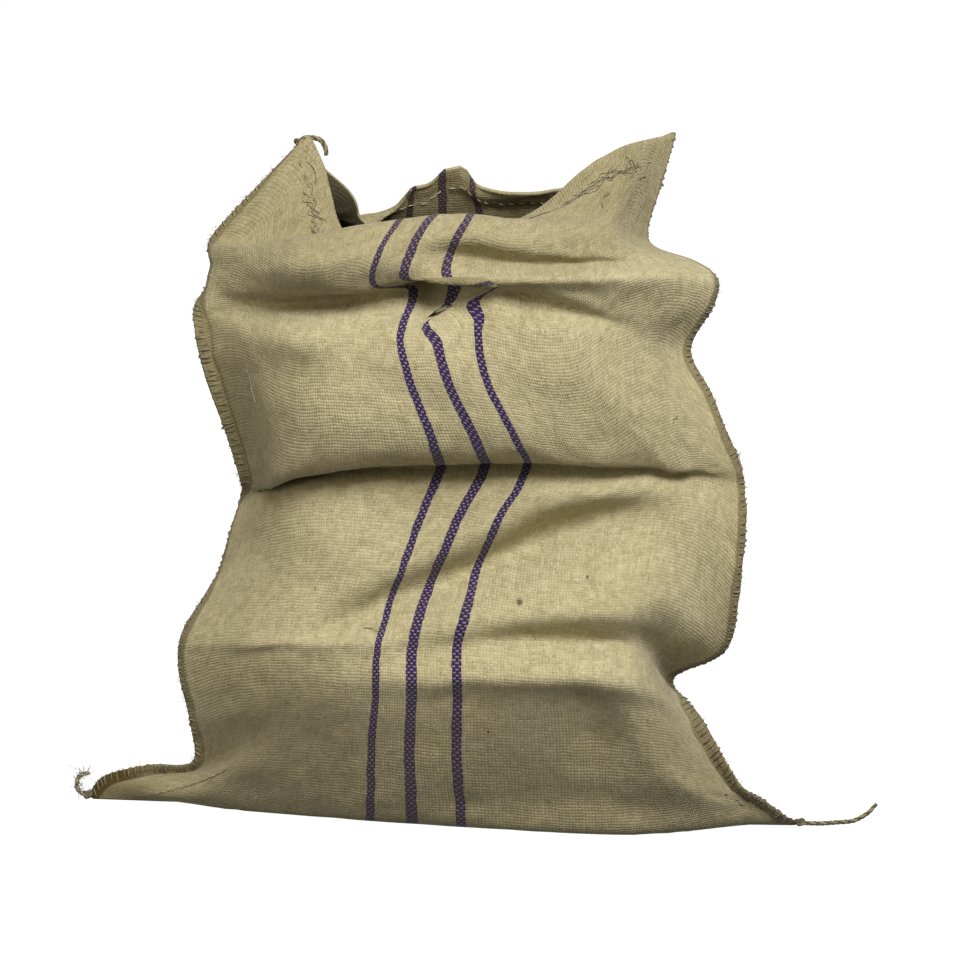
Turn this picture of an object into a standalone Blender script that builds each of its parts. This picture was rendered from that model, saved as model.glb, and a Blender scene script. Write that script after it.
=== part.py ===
"""An empty jute sack, standing open on the floor and slumped into folds.

One length of hessian is folded at the bottom, closed along both sides with a
thick overcast seam and hemmed round the mouth.  The sack is modelled as one
closed solid: an outer skin, an inner skin one cloth inside it, a solid lip
along each side seam and a rim at the mouth.  Three ends of seam twine are
separate pieces.

All sizes below are millimetres.  X runs from the left corner to the right
one, Y from the front to the back, and Z is up from the floor.
"""

import bpy
import bmesh
import numpy as np

MILLIMETRE = 0.001

# ------------------------------------------------------------ driving sizes

CLOTH_THICKNESS = 2.0
SEAM_LIP = 9.0             # how far each side seam stands out of the cloth
SEAM_ROOT_HALF = 2.0       # half thickness of the lip where it leaves the cloth
SEAM_EDGE_HALF = 1.3       # half thickness of the lip at its free edge
SEAM_FILL = 0.2            # how far the cloth is solid past the root, in lips
THIN_SHARE = 0.27          # share of a narrow gap that one wall may fill
NARROW_GAP, WIDE_GAP = 2.0, 12.0   # between these the walls' inner skins turn
FLOOR_SNAP = 0.4           # cloth lower than this lies flat on the floor
MIDDLE_X, MIDDLE_Y = -8.5, 19.5   # middle of the sack in the fold tables below

STEPS_PER_FOLD = 2         # rows of the mesh between two fold lines
COLUMNS = 22               # columns of the mesh across one side
COLUMN_CROWDING = 0.35     # how much closer the columns stand beside the seams
TWINE_STEP = 2.2           # thicknesses of twine between two points of its route

# Where the columns of the fold tables lie across the cloth, seam to seam
STATIONS = (0.0, 0.22, 0.46, 0.72, 1.0)
LEFT_SEAM, LEFT_QUARTER, RIGHT_QUARTER, RIGHT_SEAM = 0, 1, 3, 4

# Front of the sack, a row for each fold line from the floor to the mouth
FRONT_FOLDS = (
    # fold line         left seam         left quarter      middle stripe     right quarter     right seam
    ("bottom fold",     (-322, 80, 4),    (-182, 62, 0),    (-33, 38, 0),     (143, 8, 0),      (305, -10, 3)),
    ("floor edge",      (-307, 78, 21),   (-175, 38, 0),    (-31, -3, 0),     (150, -38, 0),    (289, -18, 14)),
    ("toe",             (-267, 70, 31),   (-162, 14, 32),   (-31, -22, 33),   (147, -52, 32),   (272, -28, 30)),
    ("lower front",     (-226, 56, 38),   (-148, -10, 76),  (-32, -43, 82),   (144, -76, 79),   (254, -32, 44)),
    ("low belly",       (-227, 42, 80),   (-140, -30, 117), (-30, -60, 126),  (138, -96, 131),  (231, -28, 80)),
    ("belly",           (-236, 38, 126),  (-135, -40, 159), (-30, -63, 164),  (136, -102, 167), (211, -12, 109)),
    ("belly ridge",     (-233, 38, 159),  (-132, -38, 178), (-24, -52, 190),  (141, -76, 193),  (196, 8, 127)),
    ("shoulder",        (-212, 42, 194),  (-122, -22, 219), (-10, -46, 227),  (145, -74, 231),  (237, -20, 157)),
    ("upper shoulder",  (-200, 52, 216),  (-119, -14, 258), (7, -24, 268),    (154, -48, 277),  (246, -38, 215)),
    ("crease lip",      (-188, 50, 254),  (-121, -2, 296),  (26, -14, 302),   (165, -34, 302),  (251, -36, 272)),
    ("main crease",     (-181, 58, 277),  (-122, 20, 305),  (34, 2, 318),     (166, -18, 317),  (250, -26, 302)),
    ("overhang",        (-181, 50, 296),  (-124, -26, 314), (33, -36, 325),   (164, -36, 321),  (247, -26, 318)),
    ("lobe low",        (-192, 44, 337),  (-122, -44, 351), (21, -54, 354),   (150, -47, 352),  (237, -24, 342)),
    ("lobe",            (-209, 38, 388),  (-124, -46, 398), (1, -58, 397),    (133, -52, 393),  (223, -16, 379)),
    ("lobe high",       (-217, 38, 425),  (-127, -44, 431), (-7, -50, 435),   (128, -48, 434),  (206, 0, 415)),
    ("pocket crease",   (-218, 42, 447),  (-125, 2, 455),   (2, -30, 468),    (128, -44, 458),  (224, -10, 454)),
    ("roll under",      (-210, 48, 464),  (-125, -34, 469), (-34, -44, 478),  (129, -52, 484),  (227, -8, 478)),
    ("roll front",      (-204, 52, 482),  (-125, -48, 494), (-29, -48, 506),  (120, -38, 500),  (209, 4, 491)),
    ("roll top",        (-208, 58, 496),  (-123, -16, 513), (-11, -14, 533),  (116, -32, 519),  (177, 22, 501)),
    ("valley",          (-200, 60, 510),  (-124, 28, 490),  (-8, 22, 513),    (121, -8, 532),   (171, 26, 516)),
    ("flap",            (-168, 58, 544),  (-104, 42, 502),  (-8, 32, 500),    (129, 8, 554),    (181, 28, 550)),
    ("mouth",           (-128, 66, 585),  (-82, 50, 502),   (-8, 42, 492),    (126, 18, 575),   (194, 30, 596)),
)

# Back of the sack.  The first number is the front fold line that lies beside it.
BACK_FOLDS = (
    # fold line         beside  left quarter      middle stripe     right quarter
    ("bottom fold",     0.0,    (-182, 62, 0),    (-33, 38, 0),     (143, 8, 0)),
    ("floor edge",      1.0,    (-172, 92, 0),    (-28, 92, 0),     (150, 58, 0)),
    ("heel",            2.0,    (-160, 114, 28),  (-26, 114, 30),   (150, 82, 28)),
    ("lower back",      4.0,    (-142, 132, 88),  (-22, 133, 94),   (146, 108, 90)),
    ("back trough",     5.2,    (-138, 118, 132), (-18, 124, 140),  (144, 104, 134)),
    ("back belly",      6.6,    (-132, 134, 186), (-12, 140, 192),  (142, 122, 180)),
    ("back shoulder",   8.5,    (-124, 128, 262), (0, 134, 270),    (144, 118, 258)),
    ("back crease lip", 9.6,    (-121, 118, 294), (8, 122, 300),    (146, 108, 292)),
    ("back crease",     10.5,   (-120, 101, 306), (10, 103, 312),   (146, 96, 302)),
    ("back overhang",   11.5,   (-121, 120, 314), (8, 124, 320),    (142, 108, 312)),
    ("back lobe",       13.4,   (-122, 126, 388), (2, 130, 392),    (134, 114, 388)),
    ("back fold",       15.4,   (-122, 112, 440), (-2, 114, 442),   (126, 103, 444)),
    ("back neck",       17.0,   (-121, 116, 470), (-3, 118, 474),   (124, 100, 476)),
    ("back valley",     18.8,   (-118, 104, 512), (-4, 102, 518),   (120, 84, 522)),
    ("mouth",           21.0,   (-78, 92, 520),   (-4, 88, 546),    (98, 68, 546)),
)

# Soft troughs and ridges on top of the fold lines, on the outside of one side.
# across and row give the middle; the half widths are in the same units; slope
# is rows gained for each unit across; back, up and right move the cloth.
SMALL_FOLDS = (
    # fold                side    across row   half across half rows slope  back  up   right
    ("dip, left",          "front", 0.40, 6.5,  0.13,       0.50,     4.5,   17.0,  0.0, 0.0),
    ("dip, right",         "front", 0.60, 7.4,  0.13,       0.52,     5.3,   21.0,  0.0, 0.0),
    ("bright band",        "front", 0.68, 6.5,  0.20,       0.50,     1.5,   -7.0,  0.0, 0.0),
    ("right corner roll",  "front", 0.84, 2.4,  0.09,       0.60,     -4.0,  -10.0, 4.0, 0.0),
    ("right corner dip",   "front", 0.70, 3.3,  0.06,       0.90,     -7.0,  7.0,   0.0, 0.0),
    ("ear cone",           "front", 0.13, 1.5,  0.05,       0.80,     6.0,   -9.0,  3.0, 0.0),
    ("overhang corner",    "front", 0.12, 11.0, 0.07,       0.80,     0.0,   -4.0,  -8.0, 0.0),
    ("lobe shadow",        "front", 0.33, 14.0, 0.05,       0.70,     10.0,  7.0,   0.0, 0.0),
    ("stripe pinch",       "front", 0.435, 15.3, 0.05,      0.50,     4.0,   20.0,  2.0, 0.0),
    ("flap hollow",        "front", 0.62, 18.8, 0.10,       0.70,     0.0,   8.0,   0.0, 0.0),
    ("flap tip",           "front", 0.08, 21.0, 0.05,       1.50,     0.0,   0.0,   7.0, 10.0),
    ("flap tip behind",    "back",  0.13, 21.0, 0.07,       1.50,     0.0,   0.0,   0.0, 15.0),
    ("mouth sag",          "back",  0.32, 21.0, 0.07,       1.30,     0.0,   0.0,   -14.0, 0.0),
    ("mouth hump, left",   "back",  0.462, 21.0, 0.025,     1.40,     0.0,   -10.0, 13.0, 0.0),
    ("mouth hump, right",  "back",  0.497, 21.0, 0.025,     1.40,     0.0,   -10.0, 13.0, 0.0),
)

# Ends of the seam twine, each by the points of its route and its thickness
TWINE_ENDS = {
    "twine_tail_right": (4.0, ((305.3, -10, 3), (322, -12, 3), (338, -12, 4),
                               (352, -10, 5), (364, -8, 11), (372, -6, 19))),
    "twine_curl_top_left": (4.5, ((-127.3, 66, 585.8), (-123, 66, 589.3), (-116, 66, 590),
                                  (-109, 65, 588), (-105, 64, 582), (-104, 63, 575))),
    "twine_end_left_ear": (4.0, ((-322.3, 80, 4), (-327, 80, 5), (-331, 79, 10),
                                 (-331, 78, 17), (-327, 77, 23), (-320, 75, 25))),
}

CLOTH_COLOUR = (0.46, 0.39, 0.22, 1.0)
TWINE_COLOUR = (0.38, 0.32, 0.19, 1.0)
JUTE_ROUGHNESS = 0.9


# ---------------------------------------------------------- smooth curves

def through(knots, values, at):
    """Smooth curve through values[k] at knots[k], read at each number of at.

    Cubic pieces whose slope at a knot is that of the line joining its two
    neighbours, so a gentle bend passes through every row of a table.
    """
    knots = np.asarray(knots, float)
    values = np.asarray(values, float)
    slopes = np.empty_like(values)
    gaps = np.diff(knots).reshape((-1,) + (1,) * (values.ndim - 1))
    steps = np.diff(values, axis=0) / gaps
    slopes[0], slopes[-1] = steps[0], steps[-1]
    slopes[1:-1] = (steps[:-1] * gaps[1:] + steps[1:] * gaps[:-1]) / (gaps[:-1] + gaps[1:])
    piece = np.clip(np.searchsorted(knots, at, side="right") - 1, 0, len(knots) - 2)
    width = (knots[piece + 1] - knots[piece])
    part = (at - knots[piece]) / width
    shape = (-1,) + (1,) * (values.ndim - 1)
    part, width = part.reshape(shape), width.reshape(shape)
    return ((2 * part**3 - 3 * part**2 + 1) * values[piece]
            + (part**3 - 2 * part**2 + part) * width * slopes[piece]
            + (3 * part**2 - 2 * part**3) * values[piece + 1]
            + (part**3 - part**2) * width * slopes[piece + 1])


def unit(vectors):
    """The same directions with length one."""
    return vectors / np.maximum(np.linalg.norm(vectors, axis=-1, keepdims=True), 1e-9)


# ------------------------------------------------------------- the cloth

def station_curves(rows):
    """Front and back points at the five stations, for each row: (rows, 5, 3)."""
    front_table = np.array([fold[1:] for fold in FRONT_FOLDS], float)
    front = through(np.arange(len(front_table)), front_table, rows)
    back_rows = [fold[1] for fold in BACK_FOLDS]
    back_table = np.array([fold[2:] for fold in BACK_FOLDS], float)
    back = front.copy()
    back[:, LEFT_QUARTER:RIGHT_SEAM] = through(back_rows, back_table, rows)
    return front, back


def seam_frame(station, quarter, rows):
    """Edge line of a side seam, and its inward and frontward directions.

    The directions are worked out at the fold lines and curved through, so the
    lip turns gently where the seam has a corner.
    """
    folds = np.arange(len(FRONT_FOLDS))
    front, back = station_curves(folds)
    edge = front[:, station]
    along = unit(np.gradient(edge, axis=0))
    inward = (front[:, quarter] + back[:, quarter]) / 2 - edge
    inward = unit(inward - np.sum(inward * along, axis=1, keepdims=True) * along)
    frontward = np.cross(along, inward) * (-1 if station == LEFT_SEAM else 1)
    return [through(folds, edge, rows)] + [unit(through(folds, way, rows))
                                           for way in (inward, frontward)]


def add_small_folds(points, side, across, rows):
    """Move the cloth by each small fold: a bell round its middle line."""
    for _, on_side, middle, row, half_across, half_rows, slope, back, up, right in SMALL_FOLDS:
        if on_side != side:
            continue
        off_across = (across[None, :] - middle) / half_across
        off_row = (rows[:, None] - row - slope * (across[None, :] - middle)) / half_rows
        bell = np.exp(-off_across**2 - off_row**2)
        points += bell[..., None] * np.array([right, back, up], float)
    return points


def cloth_sides(rows, across):
    """Outer skin of front and back, (rows, columns, 3), and the seam lips.

    At each seam the front and back leave the root of the lip a little apart;
    they start together at the corner, where the cloth is one fold.
    """
    front, back = station_curves(rows)
    opening = np.clip(rows, 0, 1)[:, None]
    lips = {}
    for station, quarter in ((LEFT_SEAM, LEFT_QUARTER), (RIGHT_SEAM, RIGHT_QUARTER)):
        edge, inward, frontward = seam_frame(station, quarter, rows)
        root = edge + inward * SEAM_LIP
        lips[station] = (edge + frontward * SEAM_EDGE_HALF * opening,
                         edge - frontward * SEAM_EDGE_HALF * opening)
        front[:, station] = root + frontward * SEAM_ROOT_HALF * opening
        back[:, station] = root - frontward * SEAM_ROOT_HALF * opening
    sides = []
    for name, stations in (("front", front), ("back", back)):
        skin = through(STATIONS, stations.transpose(1, 0, 2), across).transpose(1, 0, 2)
        skin = add_small_folds(skin, name, across, rows)
        skin[skin[..., 2] < FLOOR_SNAP, 2] = 0.0
        sides.append(skin)
    return sides[0], sides[1], lips


def mean_directions(skin, axis):
    """Direction of the grid line through each point, halving any bend there."""
    steps = np.moveaxis(unit(np.diff(skin, axis=axis)), axis, 0)
    means = np.concatenate([steps[:1], steps[:-1] + steps[1:], steps[-1:]])
    return unit(np.moveaxis(means, 0, axis))


def backward_normals(skin):
    """Unit directions square to a skin, pointing from the front to the back."""
    return unit(np.cross(mean_directions(skin, 0), mean_directions(skin, 1)))


def inner_sides(front, back):
    """Inner skins: one cloth inside the outer ones, or less in a narrow gap."""
    across = back - front
    gap = np.linalg.norm(across, axis=-1, keepdims=True)
    wide = np.clip((gap - NARROW_GAP) / (WIDE_GAP - NARROW_GAP), 0, 1)
    depth = np.minimum(CLOTH_THICKNESS, THIN_SHARE * gap)
    narrow_way = (1 - wide) * unit(across)
    inner_front = front + depth * unit(wide * backward_normals(front) + narrow_way)
    inner_back = back - depth * unit(wide * backward_normals(back) + narrow_way)
    return inner_front, inner_back


def grid_faces(index, faces):
    """Add the quads of a grid of vertex numbers, as triangles where two meet."""
    for row in range(index.shape[0] - 1):
        for column in range(index.shape[1] - 1):
            corners = [index[row, column], index[row, column + 1],
                       index[row + 1, column + 1], index[row + 1, column]]
            kept = [c for i, c in enumerate(corners) if c not in corners[:i]]
            if len(kept) > 2:
                faces.append(kept)


def sack_mesh():
    """Vertices and faces of the closed cloth solid."""
    last = len(FRONT_FOLDS) - 1
    rows = np.linspace(0, last, last * STEPS_PER_FOLD + 1)
    even = np.linspace(0, 1, COLUMNS + 1)
    across = even - COLUMN_CROWDING * np.sin(2 * np.pi * even) / (2 * np.pi)
    front, back, lips = cloth_sides(rows, across)
    back[0] = front[0]
    inner_front, inner_back = inner_sides(front, back)
    middle = (front[1] + back[1]) / 2
    middle[:, 2] = np.maximum(middle[:, 2], CLOTH_THICKNESS)
    inner_front[0] = inner_back[0] = middle
    fill = SEAM_FILL * np.clip(rows - 0.5, 0, 1)[:, None]
    for end, station in ((0, LEFT_SEAM), (-1, RIGHT_SEAM)):
        root = (front[:, end] + back[:, end]) / 2
        edge = (lips[station][0] + lips[station][1]) / 2
        inner_front[:, end] = root + fill * (root - edge)

    skins = {"outer front": np.concatenate([lips[LEFT_SEAM][0][:, None], front,
                                            lips[RIGHT_SEAM][0][:, None]], axis=1),
             "outer back": np.concatenate([lips[LEFT_SEAM][1][:, None], back,
                                           lips[RIGHT_SEAM][1][:, None]], axis=1),
             "inner front": inner_front,
             "inner back": inner_back}
    points = np.concatenate([skin.reshape(-1, 3) for skin in skins.values()])
    number, first = {}, 0
    for name, skin in skins.items():
        count = skin.shape[0] * skin.shape[1]
        number[name] = first + np.arange(count).reshape(skin.shape[:2])
        first += count
    number["outer back"][0] = number["outer front"][0]
    number["inner back"][0] = number["inner front"][0]
    number["inner back"][:, [0, -1]] = number["inner front"][:, [0, -1]]

    faces = []
    for name in skins:
        grid_faces(number[name], faces)
    for end in (0, -1):
        edges = [number["outer front"][:, end], number["outer back"][:, end]]
        grid_faces(np.stack(edges, axis=1), faces)
    for side in ("front", "back"):
        outer, inner = number["outer " + side], number["inner " + side]
        grid_faces(np.stack([outer[-1, 1:-1], inner[-1]], axis=0), faces)
    for end, root in ((0, 1), (-1, -2)):
        faces.append([number["outer front"][-1, end], number["outer front"][-1, root],
                      number["inner front"][-1, end],
                      number["outer back"][-1, root], number["outer back"][-1, end]])
    points -= (MIDDLE_X, MIDDLE_Y, 0)
    points[points[:, 2] < FLOOR_SNAP, 2] = 0.0
    return points * MILLIMETRE, faces


# --------------------------------------------------------------- objects

def clear_objects():
    for old in list(bpy.data.objects):
        bpy.data.objects.remove(old, do_unlink=True)


def plain_material(name, colour):
    material = bpy.data.materials.new(name)
    material.use_nodes = True
    surface = material.node_tree.nodes["Principled BSDF"]
    surface.inputs["Base Color"].default_value = colour
    surface.inputs["Roughness"].default_value = JUTE_ROUGHNESS
    surface.inputs["Metallic"].default_value = 0.0
    material.diffuse_color = colour
    return material


def build_cloth():
    points, faces = sack_mesh()
    mesh = bpy.data.meshes.new("sack_cloth")
    mesh.from_pydata([tuple(p) for p in points], [], faces)
    shell = bmesh.new()
    shell.from_mesh(mesh)
    loose = [v for v in shell.verts if not v.link_faces]
    bmesh.ops.delete(shell, geom=loose, context="VERTS")
    base = [f for f in shell.faces if all(v.co.z == 0 for v in f.verts)]
    bmesh.ops.dissolve_faces(shell, faces=base, use_verts=True)
    bent = [f for f in shell.faces if any(v.co.z != 0 for v in f.verts)]
    bmesh.ops.triangulate(shell, faces=bent)
    bmesh.ops.recalc_face_normals(shell, faces=shell.faces)
    shell.to_mesh(mesh)
    shell.free()
    mesh.shade_smooth()
    mesh.materials.append(plain_material("jute_cloth", CLOTH_COLOUR))
    cloth = bpy.data.objects.new("sack_cloth", mesh)
    bpy.context.scene.collection.objects.link(cloth)


def build_twine_end(name, thickness, route):
    """A round twine through a smooth curve, its points TWINE_STEP apart."""
    route = np.array(route, float) - (MIDDLE_X, MIDDLE_Y, 0)
    length = np.linalg.norm(np.diff(route, axis=0), axis=1).sum()
    count = int(length / (TWINE_STEP * thickness))
    line = through(np.arange(len(route)), route, np.linspace(0, len(route) - 1, count + 1))
    curve = bpy.data.curves.new(name, "CURVE")
    curve.dimensions = "3D"
    curve.bevel_depth = thickness / 2 * MILLIMETRE
    curve.bevel_resolution = 2
    curve.use_fill_caps = True
    spline = curve.splines.new("POLY")
    spline.points.add(len(line) - 1)
    for point, place in zip(spline.points, line * MILLIMETRE):
        point.co = (*place, 1.0)
    curve.materials.append(bpy.data.materials["seam_twine"])
    twine = bpy.data.objects.new(name, curve)
    bpy.context.scene.collection.objects.link(twine)


clear_objects()
build_cloth()
plain_material("seam_twine", TWINE_COLOUR)
for end_name, (end_thickness, end_route) in TWINE_ENDS.items():
    build_twine_end(end_name, end_thickness, end_route)
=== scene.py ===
# %% [markdown]
# # An empty jute sack, standing open on the floor
#
# The real sack is one length of coarse jute cloth, folded at the bottom,
# closed along both sides with a thick overcast seam and hemmed round the
# mouth.  The imported model holds its folds and thickness.  This script dresses
# it: the cloth is made again with finer folds and a woven finish, the seams
# get their twine, the mouth its hem stitches, and loose fibres stand off it.
#
# The first step loads the imported model and keeps its meshes.

# %% Load the imported sack
import math
import bpy
import numpy as np
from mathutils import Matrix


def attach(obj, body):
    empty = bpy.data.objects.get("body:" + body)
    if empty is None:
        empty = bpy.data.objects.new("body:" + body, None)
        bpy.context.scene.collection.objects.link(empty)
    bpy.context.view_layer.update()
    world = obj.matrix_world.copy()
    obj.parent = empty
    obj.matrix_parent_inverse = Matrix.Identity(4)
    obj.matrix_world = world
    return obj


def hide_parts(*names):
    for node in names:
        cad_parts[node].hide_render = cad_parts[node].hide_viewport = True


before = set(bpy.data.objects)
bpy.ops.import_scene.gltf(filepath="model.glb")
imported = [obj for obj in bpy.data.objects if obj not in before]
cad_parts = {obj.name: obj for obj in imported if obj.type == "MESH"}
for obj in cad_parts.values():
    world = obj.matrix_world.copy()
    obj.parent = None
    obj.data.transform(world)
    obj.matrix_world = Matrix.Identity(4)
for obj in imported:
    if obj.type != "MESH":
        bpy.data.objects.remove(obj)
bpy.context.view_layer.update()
MILLIMETRE = 0.001
print("CAD nodes:", sorted(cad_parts))

# %% [markdown]
# ## The camera
#
# It looks along +Y from three metres away, ten degrees above the horizon, at
# the middle of the sack.  A long focal length keeps the far seam and the near
# belly at nearly the same size, so the folds aren't stretched.

# %% Place the camera
CAMERA_TARGET = (0.0365, -0.0195, 0.303)
CAMERA_RISE = math.radians(10)
CAMERA_DISTANCE = 3.0
PICTURE_WIDTH = 0.8208      # metres that the picture takes in at the target
SENSOR = 36.0

camera_data = bpy.data.cameras.new("camera")
camera_data.sensor_width = SENSOR
camera_data.lens = SENSOR * CAMERA_DISTANCE / PICTURE_WIDTH
camera = bpy.data.objects.new("camera", camera_data)
camera.location = (CAMERA_TARGET[0],
                   CAMERA_TARGET[1] - CAMERA_DISTANCE * math.cos(CAMERA_RISE),
                   CAMERA_TARGET[2] + CAMERA_DISTANCE * math.sin(CAMERA_RISE))
camera.rotation_euler = (math.pi / 2 - CAMERA_RISE, 0, 0)
bpy.context.scene.collection.objects.link(camera)
bpy.context.scene.camera = camera
bpy.context.scene.view_settings.view_transform = "Standard"
print(f"camera lens {camera_data.lens:.1f} mm, {CAMERA_DISTANCE} m away")

# %% [markdown]
# ## Smooth curves and directions
#
# Every shape below is a table of a few real sizes and a smooth curve through
# them.  The curve is made of cubic pieces.  At each table row its slope is
# that of the line joining the two neighbouring rows, so it never kinks.

# %% Curves through the rows of a table
def through(knots, values, at):
    """Smooth curve through values[k] at knots[k], read at each number of at.

    On each piece: value = h00 v0 + h10 s0 + h01 v1 + h11 s1, the cubic
    Hermite weights of the two end values and the two end slopes.
    """
    knots = np.asarray(knots, float)
    values = np.asarray(values, float)
    slopes = np.empty_like(values)
    gaps = np.diff(knots).reshape((-1,) + (1,) * (values.ndim - 1))
    steps = np.diff(values, axis=0) / gaps
    slopes[0], slopes[-1] = steps[0], steps[-1]
    slopes[1:-1] = (steps[:-1] * gaps[1:] + steps[1:] * gaps[:-1]) / (gaps[:-1] + gaps[1:])
    piece = np.clip(np.searchsorted(knots, at, side="right") - 1, 0, len(knots) - 2)
    width = knots[piece + 1] - knots[piece]
    part = (at - knots[piece]) / width
    shape = (-1,) + (1,) * (values.ndim - 1)
    part, width = part.reshape(shape), width.reshape(shape)
    return ((2 * part**3 - 3 * part**2 + 1) * values[piece]
            + (part**3 - 2 * part**2 + part) * width * slopes[piece]
            + (3 * part**2 - 2 * part**3) * values[piece + 1]
            + (part**3 - part**2) * width * slopes[piece + 1])


def through_each(values, at):
    """Smooth curve through values[k] at k = 0, 1, 2 and so on."""
    return through(np.arange(len(values)), values, at)


def unit(vectors):
    """The same directions with length one."""
    return vectors / np.maximum(np.linalg.norm(vectors, axis=-1, keepdims=True), 1e-9)


def smooth_step(low, high, value):
    """0 below low, 1 above high, and 3t^2 - 2t^3 between them."""
    t = np.clip((value - low) / (high - low), 0, 1)
    return t * t * (3 - 2 * t)


def along_line(line):
    """Length of the line from its start to each of its points."""
    steps = np.linalg.norm(np.diff(line, axis=0), axis=-1)
    return np.concatenate([np.zeros_like(steps[:1]), np.cumsum(steps, axis=0)])


# %% Meshes from grids
def grid_quads(index, flip=False):
    """Four-cornered faces of a grid of vertex numbers, turned over if flip."""
    corners = [index[:-1, :-1], index[:-1, 1:], index[1:, 1:], index[1:, :-1]]
    if flip:
        corners.reverse()
    return np.stack(corners, axis=-1).reshape(-1, 4)


def make_piece(name, points, faces, finish, uv):
    """A mesh object at the origin: points in millimetres, faces, a UV pair a point."""
    mesh = bpy.data.meshes.new(name)
    mesh.from_pydata((points * MILLIMETRE).tolist(), [], [list(face) for face in faces])
    mesh.shade_smooth()
    layer = mesh.uv_layers.new(name="UVMap")
    corners = np.empty(len(mesh.loops), dtype=np.int32)
    mesh.loops.foreach_get("vertex_index", corners)
    layer.data.foreach_set("uv", uv[corners].astype(np.float32).ravel())
    mesh.materials.append(finish)
    piece = bpy.data.objects.new(name, mesh)
    bpy.context.scene.collection.objects.link(piece)
    triangles = sum(len(face) - 2 for face in faces)
    print(f"{name}: {len(points)} points, {triangles} triangles")
    return piece


YARNS = 3                   # yarns twisted together in a twine


def tubes(lines, radii, sides, reference, twist=None, lobes=0.0):
    """Round or plied tubes along many lines at once, with closed ends.

    lines is (count, steps, 3) and radii (count, steps).  A ring round each
    point is centre + r(a) * (cos a * side + sin a * top), where side is square
    to the line and to the reference direction.  With twist, r(a) swells and
    shrinks by lobes, once a turn for each yarn, and the swelling turns with it.
    Returns points, faces and, for each point, (turn, length along the line).
    """
    count, steps = radii.shape
    forward = unit(np.gradient(lines, axis=1))
    side = unit(np.cross(forward, np.broadcast_to(reference, lines.shape)))
    top = np.cross(side, forward)
    angle = 2 * np.pi * np.arange(sides) / sides
    radius = np.repeat(radii[:, :, None], sides, axis=2)
    if twist is not None:
        swelling = np.abs(np.cos(YARNS / 2 * (angle - twist[..., None])))
        radius = radius * (1 - lobes + lobes * swelling)
    ring = (np.cos(angle)[:, None] * side[:, :, None] + np.sin(angle)[:, None] * top[:, :, None])
    points = lines[:, :, None] + radius[..., None] * ring
    index = np.arange(count * steps * sides).reshape(count, steps, sides)
    wrapped = np.concatenate([index, index[:, :, :1]], axis=2)
    quads = np.stack([wrapped[:, :-1, :-1], wrapped[:, :-1, 1:],
                      wrapped[:, 1:, 1:], wrapped[:, 1:, :-1]], axis=-1).reshape(-1, 4)
    caps = np.concatenate([index[:, 0, ::-1], index[:, -1]])
    length = np.stack([along_line(line) for line in lines])
    uv = np.stack([np.broadcast_to(angle / (2 * np.pi), radius.shape),
                   np.broadcast_to(length[..., None] * MILLIMETRE, radius.shape)], axis=-1)
    return points.reshape(-1, 3), quads.tolist() + caps.tolist(), uv.reshape(-1, 2)


# %% [markdown]
# ## Finishes written as sums
#
# A shader is a sum: thread height, thread colour, dark gaps.  To keep it
# readable, a Number wraps a socket that holds one number, and + - * / on it
# add Math nodes.  A Finish makes the material and any other node.

# %% Numbers and finishes
class Number:
    """One number that varies over a surface, as the output of a node."""

    def __init__(self, finish, socket):
        self.finish, self.socket = finish, socket

    def __add__(self, other):
        return self.finish.math("ADD", self, other)

    def __sub__(self, other):
        return self.finish.math("SUBTRACT", self, other)

    def __rsub__(self, other):
        return self.finish.math("SUBTRACT", other, self)

    def __mul__(self, other):
        return self.finish.math("MULTIPLY", self, other)

    def __truediv__(self, other):
        return self.finish.math("DIVIDE", self, other)

    def __rtruediv__(self, other):
        return self.finish.math("DIVIDE", other, self)

    def __gt__(self, other):
        return self.finish.math("GREATER_THAN", self, other)

    def __lt__(self, other):
        return self.finish.math("LESS_THAN", self, other)

    __radd__ = __add__
    __rmul__ = __mul__


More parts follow.
